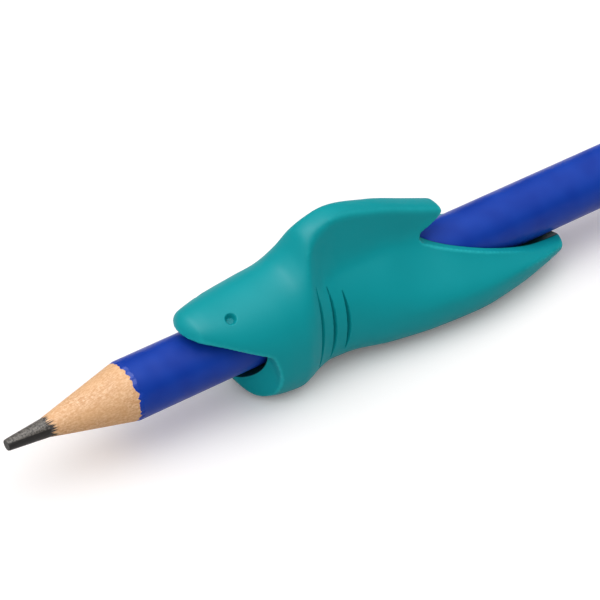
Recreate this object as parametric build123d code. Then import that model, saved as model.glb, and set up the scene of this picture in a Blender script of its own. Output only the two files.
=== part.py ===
"""A soft, shark-shaped pencil grip, pushed over a round wooden pencil.

The pencil lies along X with its point towards -X, and the shark's back faces +Z. Everything is first drawn
about the pencil's axis, with x measured from the tip of the shark's nose, and is then set down on z = 0
with the whole object's middle over the origin. All lengths are millimetres, all angles degrees.
"""

import os
from math import cos, pi, radians, sin, tan
from typing import NamedTuple

from build123d import *

# Pencil
BARREL_DIAMETER = 7.3
PENCIL_LENGTH = 140.0
LACQUER_THICKNESS = 0.12
LEAD_DIAMETER = 2.3
SHARPENED_ANGLE = 26.0
POINT_LENGTH = 4.9
POINT_DIAMETER = 1.35
POINT_ROUNDING = 0.3
BARED_LENGTH = 22.4

# Bore: a running fit on the barrel, belled at the chin and at the tail
BORE_CLEARANCE = 0.08
CHIN_BELL = 0.7
CHIN_BELL_LENGTH = 5.0
TAIL_BELL = 0.6
TAIL_BELL_LENGTH = 16.0

# Mouth: the upper lip bends up to its corner in front of the chin's slanting face
MOUTH_CORNER_X = 10.35
MOUTH_CORNER_Z = 0.35
MOUTH_CORNER_RADIUS = 1.6
LIP_SLOPE = 27.5
LIP_BEND_X = 3.6
LIP_BEND_RADIUS = 8.0
SNOUT_SLOPE = 17.5
CHIN_SLOPE = 29.0

# Jaw: from above the chin is a blunt wedge, its sides cut back to a round jaw line below the mouth's corner
JAW_X = 10.4
JAW_Z = -3.3
JAW_RADIUS = 8.3
JAW_TOP = 0.4
WEDGE_X = 7.2
WEDGE_SWEEP = 32.0

# Tail: a slanting scoop bares the pencil, under the trailing flap of the crest
SCOOP_X = 32.4
SCOOP_SLOPE = 22
SCOOP_LIFT = 0.88
SCOOP_ROOT_RADIUS = 0.7
FLAP_TIP_X = 37.2
FLAP_THICKNESS = 1.8
FLAP_RISE = 27.0

# Crest: the dorsal fin's half thickness, the rounding of its top edges, and where its flank meets the hip,
# which is round the bore or, behind that, a little above the scoop's floor
CREST_HALF = 1.6
CREST_ROUNDING = 1.1
CREST_SQUARENESS = 0.75
FOOT_ANGLE = 62.0
FOOT_SWEEP = 0.5
HIP_BULGE = 1.1
SCOOP_BULGE = 0.0
BULGE_FADE_X = 27.0
BULGE_FADE = 8.0
RIM_SPARE = 0.4

# Skin: how far from the nose and the tail it starts to close, the small flat left there, its ribs
NOSE_ROUNDING = 1.6
TAIL_ROUNDING = 2.2
END_FLAT = 0.05
RIB_SPANS = 36

# Belly: flattened where the grip rests, and fuller than an ellipse at its lower corners
REST_WALL = 3.7
BELLY_FULLNESS = 0.69

# Eyes and gill slits, sunk into the skin
SKIN_DEPTH = 0.5
EYE_X = 5.85
EYE_ANGLE = 24.0
EYE_DIAMETER = 1.5
GILL_COUNT = 3
GILL_X = 16.55
GILL_PITCH = 1.95
GILL_TOP = 4.6
GILL_BOTTOM = -3.6
GILL_WIDTH = 0.6
GILL_BOW = 0.15


class Rib(NamedTuple):
    """One cross-section of the grip: its place behind the nose, and its walls outside the bore."""

    x: float
    crest: float
    side: float
    side_z: float
    belly: float
    foot: float
    fin: float


# From the nose over the cheeks and the waist to the hips and the tail; fin turns a round back into a crest
RIBS = [
    Rib(0.6, 2.7, -1.5, 4.75, -7.8, 1.2, 0.0),
    Rib(1.8, 2.85, -0.8, 4.45, -6.2, 1.2, 0.0),
    Rib(3.5, 3.15, 0.15, 3.5, -4.0, 1.2, 0.0),
    Rib(6.5, 3.35, 1.55, 2.0, -0.7, 1.2, 0.0),
    Rib(9.5, 3.65, 2.45, 0.5, 3.55, 1.2, 0.0),
    Rib(12.0, 3.95, 2.85, -0.3, 4.05, 2.2, 0.0),
    Rib(14.0, 4.42, 2.85, -0.7, 4.2, 2.2, 0.0),
    Rib(15.6, 5.7, 2.4, -0.9, 3.8, 2.2, 0.0),
    Rib(17.2, 8.05, 1.75, -1.0, 3.3, 2.2, 0.35),
    Rib(19.0, 8.9, 1.55, -1.1, 2.65, 2.2, 0.8),
    Rib(21.3, 9.3, 1.65, -1.3, 2.65, 2.2, 1.0),
    Rib(27.5, 7.75, 2.7, -1.8, 3.5, 2.0, 1.0),
    Rib(33.5, 5.3, 3.5, -2.2, 3.8, 1.1, 1.0),
    Rib(39.5, 2.7, 3.8, -2.4, 3.85, 1.0, 1.0),
    Rib(45.5, -0.2, 3.15, -2.6, 3.35, 1.0, 1.0),
    Rib(50.5, -2.3, 1.95, -3.2, 2.5, 1.1, 1.0),
    Rib(55.2, -4.2, 0.35, -4.5, 1.65, 1.2, 1.0),
]

barrel_radius = BARREL_DIAMETER / 2
casing_radius = barrel_radius - LACQUER_THICKNESS
lead_radius = LEAD_DIAMETER / 2
bore_radius = barrel_radius + BORE_CLEARANCE
rest_depth = bore_radius + REST_WALL
tail_x = RIBS[-1].x
reach = 2 * tail_x


def turned(*corners):
    """A solid of revolution about the pencil's axis, from the (x, radius) corners of its profile."""
    return revolve(make_face(Polyline(*[(x, 0, r) for x, r in corners], close=True)), Axis.X)


def rim_z(x):
    """The height of the scoop's floor at a place behind the nose."""
    return bore_radius + SCOOP_LIFT - (x - SCOOP_X) * tan(radians(SCOOP_SLOPE))


def hip_bulge(x):
    """How far the hip swells out of a straight flank, less beside the scoop than ahead of it."""
    share = min(1, max(0, (x - BULGE_FADE_X) / BULGE_FADE))
    return HIP_BULGE + (SCOOP_BULGE - HIP_BULGE) * share


def round_back(rib, peak, wide):
    """Control points of a plain rounded back, in three arcs from the peak to the widest place."""
    step = pi / 6
    pull = 4 / 3 * tan(step / 4)
    rise = peak.Z - wide.Z

    def point(number):
        return Vector(rib.x, wide.Y * sin(number * step), wide.Z + rise * cos(number * step))

    def heading(number):
        return Vector(0, wide.Y * cos(number * step), -rise * sin(number * step)) * pull

    return [
        [point(n), point(n) + heading(n), point(n + 1) - heading(n + 1), point(n + 1)]
        for n in range(3)
    ]


def finned_back(rib, peak, wide, inset):
    """Control points of a crested back: the crest's edge, its hollow flank and the swell of the hip."""
    corner = Vector(rib.x, CREST_HALF - inset, peak.Z)
    edge = corner - Vector(0, 0, CREST_ROUNDING)
    foot_radius = bore_radius + rib.foot - inset
    foot_z = min(foot_radius * sin(radians(FOOT_ANGLE)), rim_z(rib.x) + RIM_SPARE)
    foot = Vector(rib.x, (foot_radius ** 2 - foot_z ** 2) ** 0.5, foot_z)
    swell = (wide - foot) / 3 + Vector(0, hip_bulge(rib.x), 0)
    return [
        [peak, peak + (corner - peak) * CREST_SQUARENESS, edge + (corner - edge) * CREST_SQUARENESS, edge],
        [edge, edge + Vector(0, 0, foot_z - edge.Z) * FOOT_SWEEP, foot - swell * FOOT_SWEEP, foot],
        [foot, foot + swell, wide + Vector(0, 0, foot_z - wide.Z) / 3, wide],
    ]


def end_rounding(x):
    """How far a rib is drawn in towards its middle, so that the nose and the tail end round."""
    nose = (x - RIBS[0].x + END_FLAT) / NOSE_ROUNDING
    tail = (tail_x - x + END_FLAT) / TAIL_ROUNDING
    gap = min(1, nose, tail)
    return (gap * (2 - gap)) ** 0.5


def rib_outline(rib, inset):
    """The closed outline of one rib: back and belly on one side, then the same on the other."""
    peak = Vector(rib.x, 0, bore_radius + rib.crest - inset)
    wide = Vector(rib.x, bore_radius + rib.side - inset, rib.side_z)
    low = Vector(rib.x, 0, inset - bore_radius - rib.belly)
    plain = round_back(rib, peak, wide)
    finned = finned_back(rib, peak, wide, inset)
    back = [[p + (f - p) * rib.fin for p, f in zip(*pair)] for pair in zip(plain, finned)]
    drop = Vector(0, 0, low.Z - wide.Z)
    belly = [wide, wide + drop * BELLY_FULLNESS, low + Vector(0, wide.Y, 0) * BELLY_FULLNESS, low]
    centre = Vector(rib.x, 0, rib.side_z)
    drawn_in = end_rounding(rib.x)
    half = [[centre + (p - centre) * drawn_in for p in points] for points in back + [belly]]
    other = [[Vector(p.X, -p.Y, p.Z) for p in reversed(points)] for points in reversed(half)]
    return Wire([Bezier(*points) for points in half + other])


def eased(x, places, values):
    """The value at x on a smooth line through the given ones that swings past none of them."""
    rises = [(v1 - v0) / (x1 - x0) for x0, x1, v0, v1 in zip(places, places[1:], values, values[1:])]
    inner = [2 * r0 * r1 / (r0 + r1) if r0 * r1 > 0 else 0.0 for r0, r1 in zip(rises, rises[1:])]
    slopes = [rises[0]] + inner + [rises[-1]]
    span = max(i for i in range(len(rises)) if i == 0 or places[i] <= x)
    length = places[span + 1] - places[span]
    t = (x - places[span]) / length
    start = values[span] * (1 + 2 * t) + slopes[span] * length * t
    end = values[span + 1] * (3 - 2 * t) - slopes[span + 1] * length * (1 - t)
    return start * (1 - t) ** 2 + end * t ** 2


def rib_at(x):
    """The cross-section at any place behind the nose, eased between the drawn ribs."""
    places, *columns = zip(*RIBS)
    return Rib(x, *(eased(x, places, column) for column in columns))


def shark_body(inset=0.0):
    """The whole fish in one smooth skin, or the same fish that much smaller all round."""
    nose_x = RIBS[0].x
    spread = [(1 - cos(pi * number / RIB_SPANS)) / 2 for number in range(RIB_SPANS + 1)]
    ribs = [rib_at(nose_x + (tail_x - nose_x) * share) for share in spread]
    return Part() + Solid.make_loft([rib_outline(rib, inset) for rib in ribs])


def mouth():
    """The open mouth: the lip's bent underside above, the chin's face behind, a rounded corner between."""
    corner = Vector(MOUTH_CORNER_X, 0, MOUTH_CORNER_Z)
    bend = corner + Vector(-1, 0, tan(radians(LIP_SLOPE))) * (MOUTH_CORNER_X - LIP_BEND_X)
    front = bend + Vector(-1, 0, tan(radians(SNOUT_SLOPE))) * reach
    chin = corner + Vector(-tan(radians(CHIN_SLOPE)), 0, -1) * reach
    below = Vector(front.X, 0, chin.Z)
    outline = make_face(Polyline(corner, bend, front, below, chin, close=True))
    by_height = outline.vertices().filter_by_position(Axis.X, 0, reach).sort_by(Axis.Z)
    outline = fillet(by_height[0], MOUTH_CORNER_RADIUS)
    by_height = outline.vertices().filter_by_position(Axis.X, 0, reach).sort_by(Axis.Z)
    outline = fillet(by_height[-1], LIP_BEND_RADIUS)
    return extrude(outline, reach, both=True)


def jaw_sides():
    """What is missing beside the chin's wedge, in front of the jaw line."""
    wide_x = WEDGE_X + reach * tan(radians(WEDGE_SWEEP))
    tip = Vector(WEDGE_X, 0, JAW_TOP)
    sides = [Vector(wide_x, reach, JAW_TOP), Vector(-reach, reach, JAW_TOP)]
    others = [Vector(v.X, -v.Y, v.Z) for v in reversed(sides)]
    clear = extrude(make_face(Polyline(tip, *sides, *others, close=True)), reach, dir=(0, 0, -1))
    line = Pos(JAW_X - JAW_RADIUS, 0, JAW_Z) * Rot(90, 0, 0) * Cylinder(JAW_RADIUS, reach)
    return line & clear


def scoop():
    """All that is missing above and behind the tail's rim, up to the round end of the flap."""
    root = Vector(SCOOP_X, 0, rim_z(SCOOP_X))
    end = Vector(reach, 0, rim_z(reach))
    radius = FLAP_THICKNESS / 2
    hub_x = FLAP_TIP_X - radius
    under = root + Vector(1, 0, tan(radians(FLAP_RISE))) * (hub_x - root.X)
    tip = under + Vector(radius, 0, radius)
    over = under + Vector(0, 0, 2 * radius)
    above = Vector(hub_x, 0, reach)
    behind = Vector(reach, 0, reach)
    floor = Line(root, end)
    ceiling = Line(under, root)
    walls = Polyline(end, behind, above, over)
    outline = make_face(Curve() + [floor, walls, ThreePointArc(over, tip, under), ceiling])
    notch = outline.vertices().sort_by(Axis.X)[0]
    return extrude(fillet(notch, SCOOP_ROOT_RADIUS), reach, both=True)


def bore():
    """The hole for the pencil, with a bell at each end."""
    lip_x = MOUTH_CORNER_X - (bore_radius + MOUTH_CORNER_Z) * tan(radians(CHIN_SLOPE))
    chin_radius = bore_radius + CHIN_BELL
    tail_radius = bore_radius + TAIL_BELL
    return turned(
        (-reach, 0),
        (-reach, chin_radius),
        (lip_x, chin_radius),
        (lip_x + CHIN_BELL_LENGTH, bore_radius),
        (tail_x - TAIL_BELL_LENGTH, bore_radius),
        (tail_x, tail_radius),
        (reach, tail_radius),
        (reach, 0),
    )


def eyes_and_gills(body):
    """The two eye dimples and the rows of bowed gill slits, all to one depth under the skin."""
    eye = Cylinder(EYE_DIAMETER / 2, reach, align=(Align.CENTER, Align.CENTER, Align.MIN))
    cutters = [Pos(EYE_X, 0, 0) * Rot(side * EYE_ANGLE, 0, 0) * eye for side in (-1, 1)]
    middle = (GILL_TOP + GILL_BOTTOM) / 2
    for number in range(GILL_COUNT):
        x = GILL_X + number * GILL_PITCH
        top = (x, 0, GILL_TOP)
        bottom = (x, 0, GILL_BOTTOM)
        front = ThreePointArc(top, (x + GILL_BOW, 0, middle), bottom)
        back = ThreePointArc(bottom, (x + GILL_BOW + GILL_WIDTH, 0, middle), top)
        cutters.append(extrude(make_face(Curve() + [front, back]), reach, both=True))
    skin = body - shark_body(SKIN_DEPTH)
    return [skin & cutter for cutter in cutters]


def shark_grip():
    body = shark_body()
    below = Pos(0, 0, -rest_depth) * Box(reach * 2, reach, reach, align=(Align.CENTER, Align.CENTER, Align.MAX))
    return body - [mouth(), jaw_sides(), scoop(), bore(), below] - eyes_and_gills(body)


def pencil():
    """The pencil's pieces, with its point as far out of the grip as the writer's fingers need."""
    point_x = -BARED_LENGTH
    lead_bared_x = point_x + POINT_LENGTH
    end_x = point_x + PENCIL_LENGTH
    slope = tan(radians(SHARPENED_ANGLE / 2))
    casing_bared_x = lead_bared_x + (casing_radius - lead_radius) / slope
    paint_x = casing_bared_x + LACQUER_THICKNESS / slope
    lead = turned(
        (point_x, 0),
        (point_x, POINT_DIAMETER / 2),
        (lead_bared_x, lead_radius),
        (end_x, lead_radius),
        (end_x, 0),
    )
    lead = fillet(lead.edges().group_by(Axis.X)[0], POINT_ROUNDING)
    casing = turned(
        (lead_bared_x, lead_radius),
        (casing_bared_x, casing_radius),
        (end_x, casing_radius),
        (end_x, lead_radius),
    )
    lacquer = turned(
        (casing_bared_x, casing_radius),
        (paint_x, barrel_radius),
        (end_x, barrel_radius),
        (end_x, casing_radius),
    )
    return {
        "casing_upper": split(casing, Plane.XY, keep=Keep.TOP),
        "casing_lower": split(casing, Plane.XY, keep=Keep.BOTTOM),
        "lead": lead,
        "lacquer": lacquer,
    }


pieces = {"shark_grip": shark_grip(), **pencil()}
set_down = Pos(BARED_LENGTH - PENCIL_LENGTH / 2, 0, rest_depth)
os.makedirs("parts", exist_ok=True)
for name, piece in pieces.items():
    export_step(set_down * piece, f"parts/{name}.step")
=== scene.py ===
# %% [markdown]
# # A soft shark on a pencil
# A pencil grip is one shot of soft, coloured elastomer, moulded round a steel core that leaves the bore.
# Here it is a small shark: the pencil comes out of its mouth, its fin is a crest for the thumb and the
# forefinger to close on, and its tail is scooped open so that the grip can be pushed on from behind.
#
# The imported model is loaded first. Every piece below is made in metres in that same frame, so nothing has to
# be fitted by eye.

# %% Load the frame
from math import acos, asin, cos, pi, radians, sin, tan
from typing import NamedTuple

import bmesh
import bpy
import numpy as np
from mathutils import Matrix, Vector


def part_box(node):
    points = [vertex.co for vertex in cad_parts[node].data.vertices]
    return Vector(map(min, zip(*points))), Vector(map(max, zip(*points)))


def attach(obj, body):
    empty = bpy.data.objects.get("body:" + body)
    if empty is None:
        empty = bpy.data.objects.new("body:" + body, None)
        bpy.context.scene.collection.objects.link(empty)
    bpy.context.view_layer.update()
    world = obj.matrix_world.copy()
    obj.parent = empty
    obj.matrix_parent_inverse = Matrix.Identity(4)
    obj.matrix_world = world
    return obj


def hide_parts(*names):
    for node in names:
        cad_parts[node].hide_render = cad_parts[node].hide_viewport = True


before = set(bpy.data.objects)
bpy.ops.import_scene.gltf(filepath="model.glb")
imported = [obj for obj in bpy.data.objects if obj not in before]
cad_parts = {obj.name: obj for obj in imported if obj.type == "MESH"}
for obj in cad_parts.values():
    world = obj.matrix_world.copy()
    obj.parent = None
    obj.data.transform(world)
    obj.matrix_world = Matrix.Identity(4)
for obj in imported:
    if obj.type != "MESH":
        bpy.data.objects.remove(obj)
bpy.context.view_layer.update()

MM = 0.001

# %% [markdown]
# ## Small helpers for nodes
# Node trees are easier to read when each node is one line. `fill` gives a node's inputs a value or another
# node's output, and `add` makes a node, sets its properties and fills its inputs. `colour` turns the hex
# colour that a paint chart or a colour picker gives into the linear numbers that a shader works in.

# %% Helpers for nodes and colours
def fill(tree, node, inputs):
    """Gives each named input a value, or links it to an output."""
    for key, value in inputs.items():
        named = [socket for socket in node.inputs if socket.enabled and socket.name == key]
        socket = named[0] if named else node.inputs[key]
        if isinstance(value, bpy.types.NodeSocket):
            tree.links.new(value, socket)
        else:
            socket.default_value = value


def add(tree, kind, inputs=None, **settings):
    """A node with its properties set and its inputs filled; where it has one output, that output itself."""
    node = tree.nodes.new(kind)
    for name, value in settings.items():
        setattr(node, name, value)
    fill(tree, node, inputs or {})
    usable = [socket for socket in node.outputs if socket.enabled]
    return usable[0] if len(usable) == 1 else node


def colour(hex_code):
    """An sRGB hex colour as linear red, green, blue and alpha."""
    shares = [int(hex_code[i:i + 2], 16) / 255 for i in (1, 3, 5)]
    return [s / 12.92 if s <= 0.04045 else ((s + 0.055) / 1.055) ** 2.4 for s in shares] + [1.0]


# %% [markdown]
# ## The shark's ribs
# A moulded animal has no straight edge to measure from, so a modeller draws a few cross-sections and lets a
# smooth skin run through them. Each rib says how far the crest, the sides, the belly and the fin's foot stand
# outside the bore, how high the rib is widest, and how much of a fin its back has. Millimetres, measured from
# the drawing's zero just ahead of the nose, with the pencil's axis as the middle.

# %% Ribs from the nose to the tail
BORE_CLEARANCE = 0.08


class Rib(NamedTuple):
    """One cross-section; its crest, side, belly and foot are distances outside the bore."""
    x: float
    crest: float
    side: float
    side_z: float
    belly: float
    foot: float
    fin: float


RIBS = [
    Rib(0.6, 2.7, -1.5, 4.75, -7.8, 1.2, 0.0),
    Rib(1.8, 2.85, -0.8, 4.45, -6.2, 1.2, 0.0),
    Rib(3.5, 3.15, 0.15, 3.5, -4.0, 1.2, 0.0),
    Rib(6.5, 3.35, 1.55, 2.0, -0.7, 1.2, 0.0),
    Rib(9.5, 3.65, 2.45, 0.5, 3.55, 1.2, 0.0),
    Rib(12.0, 3.95, 2.85, -0.3, 4.05, 2.2, 0.0),
    Rib(14.0, 4.42, 2.85, -0.7, 4.2, 2.2, 0.0),
    Rib(15.6, 5.7, 2.4, -0.9, 3.8, 2.2, 0.0),
    Rib(17.2, 8.05, 1.75, -1.0, 3.3, 2.2, 0.35),
    Rib(19.0, 8.9, 1.55, -1.1, 2.65, 2.2, 0.8),
    Rib(21.3, 9.3, 1.65, -1.3, 2.65, 2.2, 1.0),
    Rib(27.5, 7.75, 2.7, -1.8, 3.5, 2.0, 1.0),
    Rib(33.5, 5.3, 3.5, -2.2, 3.8, 1.1, 1.0),
    Rib(39.5, 2.7, 3.8, -2.4, 3.85, 1.0, 1.0),
    Rib(45.5, -0.2, 3.15, -2.6, 3.35, 1.0, 1.0),
    Rib(50.5, -2.3, 1.95, -3.2, 2.5, 1.1, 1.0),
    Rib(55.2, -4.2, 0.35, -3.9, 1.65, 1.2, 1.0),
]

lead_low, lead_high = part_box("lead")
lacquer_low, lacquer_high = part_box("lacquer")
casing_low, casing_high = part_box("casing_upper")
axis_z = (lead_low.z + lead_high.z) / 2
nose_x = RIBS[0].x
tail_x = RIBS[-1].x
drawing_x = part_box("shark_grip")[0].x - nose_x * MM
barrel_radius = (lacquer_high.z - lacquer_low.z) / 2 / MM
bore_radius = barrel_radius + BORE_CLEARANCE
print("bore radius", round(bore_radius, 3), "mm, axis at", round(axis_z / MM, 2), "mm")

# %% [markdown]
# ## One smooth skin
# Each rib's outline is four cubic curves a side: the crest's edge, its hollow flank, the swell of the hip and
# the belly. Ahead of the fin the back is a plain round one, and `fin` blends between the two. Between the
# ribs the sizes are eased along a line that never swings past a drawn one, so no bulge appears that nobody
# drew. The nose and the tail close like the end of an egg.

# %% Curves of one rib
CREST_HALF = 1.6
CREST_ROUNDING = 1.1
CREST_SQUARENESS = 0.75
FOOT_ANGLE = 62
FOOT_SWEEP = 0.5
HIP_BULGE = 1.1
SCOOP_BULGE = -0.5
BULGE_FADE_X = 27
BULGE_FADE = 8
SCOOP_X = 32.4
SCOOP_SLOPE = 22
SCOOP_LIFT = 0.88
SCOOP_LEVEL_X = 50
SCOOP_LEVEL_SLOPE = 12
RIM_SPARE = 0.4


def rim_z(x):
    """Height of the scoop's rim, which slopes down and levels out towards the tail."""
    sloped = min(x, SCOOP_LEVEL_X) - SCOOP_X
    levelled = max(x, SCOOP_LEVEL_X) - SCOOP_LEVEL_X
    drop = sloped * tan(radians(SCOOP_SLOPE)) + levelled * tan(radians(SCOOP_LEVEL_SLOPE))
    return bore_radius + SCOOP_LIFT - drop


def hip_bulge(x):
    """How far the hip swells out of a straight flank; beside the scoop it is a hollow instead."""
    share = min(1, max(0, (x - BULGE_FADE_X) / BULGE_FADE))
    return HIP_BULGE + (SCOOP_BULGE - HIP_BULGE) * share


def round_back(peak, wide):
    """Three arcs of a plain rounded back, each as the four control points of a cubic."""
    step = pi / 6
    pull = 4 / 3 * tan(step / 4)
    reach = np.array([wide[0], peak[1] - wide[1]])
    base = np.array([0, wide[1]])
    ends = [base + reach * (sin(n * step), cos(n * step)) for n in range(4)]
    heads = [reach * (cos(n * step), -sin(n * step)) * pull for n in range(4)]
    return [[ends[n], ends[n] + heads[n], ends[n + 1] - heads[n + 1], ends[n + 1]] for n in range(3)]


def finned_back(rib, peak, wide):
    """The crest's edge, its hollow flank and the swell of the hip, as cubic control points."""
    corner = np.array([CREST_HALF, peak[1]])
    edge = corner - (0, CREST_ROUNDING)
    foot_radius = bore_radius + rib.foot
    foot_z = min(foot_radius * sin(radians(FOOT_ANGLE)), rim_z(rib.x) + RIM_SPARE)
    foot = np.array([(foot_radius ** 2 - foot_z ** 2) ** 0.5, foot_z])
    swell = (wide - foot) / 3 + (hip_bulge(rib.x), 0)
    return [
        [peak, peak + (corner - peak) * CREST_SQUARENESS, edge + (corner - edge) * CREST_SQUARENESS, edge],
        [edge, edge + np.array([0, foot_z - edge[1]]) * FOOT_SWEEP, foot - swell * FOOT_SWEEP, foot],
        [foot, foot + swell, wide + np.array([0, foot_z - wide[1]]) / 3, wide],
    ]


print("scoop's rim at the tail", round(rim_z(tail_x), 2), "mm from the axis")

# %% One rib's outline, and the sizes between the ribs
BELLY_FULLNESS = 0.69
NOSE_ROUNDING = 1.6
TAIL_ROUNDING = 1.6
END_FLAT = 0.05
STEPS = (14, 26, 24, 26)


def end_rounding(x):
    """Share of its full size that a rib has, less than 1 only near the nose and the tail."""
    gap = min(1, (x - nose_x + END_FLAT) / NOSE_ROUNDING, (tail_x - x + END_FLAT) / TAIL_ROUNDING)
    return (gap * (2 - gap)) ** 0.5


def rib_points(rib):
    """Points round one rib, from the peak down one side to the belly and up the other."""
    peak = np.array([0, bore_radius + rib.crest])
    wide = np.array([bore_radius + rib.side, rib.side_z])
    low = np.array([0, -bore_radius - rib.belly])
    plain = np.array(round_back(peak, wide))
    finned = np.array(finned_back(rib, peak, wide))
    belly = np.array([
        wide,
        wide + (low - wide) * (0, BELLY_FULLNESS),
        low + (wide - low) * (BELLY_FULLNESS, 0),
        low,
    ])
    half = []
    for curve, steps in zip([*(plain + (finned - plain) * rib.fin), belly], STEPS):
        t = np.linspace(0, 1, steps, endpoint=False)[:, None]
        weights = [(1 - t) ** 3, 3 * t * (1 - t) ** 2, 3 * t ** 2 * (1 - t), t ** 3]
        half.append(sum(w * point for w, point in zip(weights, curve)))
    half = np.concatenate(half + [[low]])
    outline = np.concatenate([half, half[-2:0:-1] * (-1, 1)])
    centre = np.array([0, rib.side_z])
    outline = centre + (outline - centre) * end_rounding(rib.x)
    return np.column_stack([np.full(len(outline), rib.x), outline])


def eased(x, places, values):
    """The value at x on a smooth line through the given ones that swings past none of them."""
    rises = np.diff(values) / np.diff(places)
    inner = [2 * a * b / (a + b) if a * b > 0 else 0.0 for a, b in zip(rises, rises[1:])]
    slopes = [rises[0], *inner, rises[-1]]
    span = int(np.clip(np.searchsorted(places, x, "right") - 1, 0, len(rises) - 1))
    length = places[span + 1] - places[span]
    t = (x - places[span]) / length
    start = values[span] * (1 + 2 * t) + slopes[span] * length * t
    end = values[span + 1] * (3 - 2 * t) - slopes[span + 1] * length * (1 - t)
    return start * (1 - t) ** 2 + end * t ** 2


def rib_at(x):
    """A rib anywhere along the grip, eased between the drawn ones."""
    places, *columns = (np.array(column) for column in zip(*RIBS))
    return Rib(x, *(eased(x, places, column) for column in columns))


print("points round a rib", len(rib_points(RIBS[0])))

# %% Skin through the ribs
STATIONS = 240


def face_outwards(mesh):
    """Turns every face of a closed mesh to the outside."""
    net = bmesh.new()
    net.from_mesh(mesh)
    bmesh.ops.recalc_face_normals(net, faces=net.faces)
    net.to_mesh(mesh)
    net.free()


def new_object(name, points_mm, faces):
    """A mesh object from points in the drawing's millimetres, set in the frame's metres."""
    mesh = bpy.data.meshes.new(name)
    placed = np.asarray(points_mm) * MM + (drawing_x, 0, axis_z)
    mesh.from_pydata(placed.tolist(), [], faces)
    face_outwards(mesh)
    obj = bpy.data.objects.new(name, mesh)
    bpy.context.scene.collection.objects.link(obj)
    return obj


def tube_faces(rings, around):
    """Quads between neighbouring rings of points, and one cap at each end."""
    quads = []
    for ring in range(rings - 1):
        for n in range(around):
            a, b = ring * around + n, ring * around + (n + 1) % around
            quads.append((a, b, b + around, a + around))
    last = (rings - 1) * around
    return quads + [tuple(reversed(range(around))), tuple(range(last, last + around))]


stations = nose_x + (tail_x - nose_x) * (1 - np.cos(np.linspace(0, pi, STATIONS))) / 2
rings = [rib_points(rib_at(x)) for x in stations]
skin = new_object("shark_skin", np.concatenate(rings), tube_faces(STATIONS, len(rings[0])))
print("skin", len(skin.data.vertices), "points")

# %% [markdown]
# ## Mouth, scoop and bore
# The open places are cut out of the skin with Boolean modifiers, as a mould's side cores would leave them.
# Their outlines are drawn in side view as a few corners with a rounding each, then pulled out sideways. The
# jaw line is an arc on each side of a wedge, and the bore is turned about the pencil's axis. The bench is the
# table's top: it gives the belly the flats that the grip lies on.

# %% Helpers for cutters
ARC_STEPS = 12
BORE_SIDES = 128
FAR = 60.0


def rounded(corners):
    """A closed outline through (x, z, radius) corners, with an arc at each corner that has a radius."""
    outline = []
    for n, (x, z, radius) in enumerate(corners):
        here = np.array([x, z])
        if radius == 0:
            outline.append(here)
            continue
        before = np.array(corners[n - 1][:2]) - here
        after = np.array(corners[(n + 1) % len(corners)][:2]) - here
        before = before / np.linalg.norm(before)
        after = after / np.linalg.norm(after)
        half = np.arccos(np.clip(before @ after, -1, 1)) / 2
        hub = here + (before + after) / np.linalg.norm(before + after) * radius / sin(half)
        start = here + before * radius / tan(half) - hub
        end = here + after * radius / tan(half) - hub
        turn = pi - 2 * half
        for t in np.linspace(0, 1, ARC_STEPS):
            outline.append(hub + (start * sin((1 - t) * turn) + end * sin(t * turn)) / sin(turn))
    return outline


def slab(name, corners):
    """A cutter with that side outline, wider than the whole grip."""
    outline = rounded(corners)
    points = [(x, y, z) for y in (-FAR, FAR) for x, z in outline]
    return new_object(name, points, tube_faces(2, len(outline)))


def turned(name, profile):
    """A cutter turned about the pencil's axis from (x, radius) corners."""
    angles = np.arange(BORE_SIDES) * 2 * pi / BORE_SIDES
    points = [(x, r * sin(a), r * cos(a)) for x, r in profile for a in angles]
    return new_object(name, points, tube_faces(len(profile), BORE_SIDES))


# %% Mouth and jaw
MOUTH_X = 10.35
MOUTH_Z = 0.35
MOUTH_CORNER_RADIUS = 1.6
LIP_SLOPE = 27.5
LIP_BEND_X = 3.6
LIP_BEND_RADIUS = 26.0
SNOUT_SLOPE = 17.5
CHIN_SLOPE = 29
JAW_X = 10.4
JAW_Z = -3.3
JAW_RADIUS = 8.3
JAW_TOP = 0.4
JAW_STEPS = 40
WEDGE_X = 7.2
WEDGE_SWEEP = 32

bend_z = MOUTH_Z + (MOUTH_X - LIP_BEND_X) * tan(radians(LIP_SLOPE))
mouth = slab("mouth", [
    (MOUTH_X, MOUTH_Z, MOUTH_CORNER_RADIUS),
    (LIP_BEND_X, bend_z, LIP_BEND_RADIUS),
    (LIP_BEND_X - FAR, bend_z + FAR * tan(radians(SNOUT_SLOPE)), 0),
    (LIP_BEND_X - FAR, MOUTH_Z - FAR, 0),
    (MOUTH_X - FAR * tan(radians(CHIN_SLOPE)), MOUTH_Z - FAR, 0),
])


def jaw_side(name, side):
    """A cutter in front of the round jaw line on one side of the chin's wedge."""
    hub_x = JAW_X - JAW_RADIUS
    top = asin((JAW_TOP - JAW_Z) / JAW_RADIUS)
    low = -acos((WEDGE_X - hub_x) / JAW_RADIUS)
    angles = np.linspace(top, low, JAW_STEPS)
    line = [(hub_x + JAW_RADIUS * cos(a), JAW_Z + JAW_RADIUS * sin(a)) for a in angles]
    line.append((WEDGE_X, JAW_TOP))
    wedge = [(x, side * (x - WEDGE_X) / tan(radians(WEDGE_SWEEP)), z) for x, z in line]
    outer = [(x, side * FAR, z) for x, z in line]
    return new_object(name, wedge + outer, tube_faces(2, len(line)))


jaws = [jaw_side("near_jaw", -1), jaw_side("far_jaw", 1)]
print("mouth and jaws", [len(cutter.data.polygons) for cutter in (mouth, *jaws)], "faces")

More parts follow.
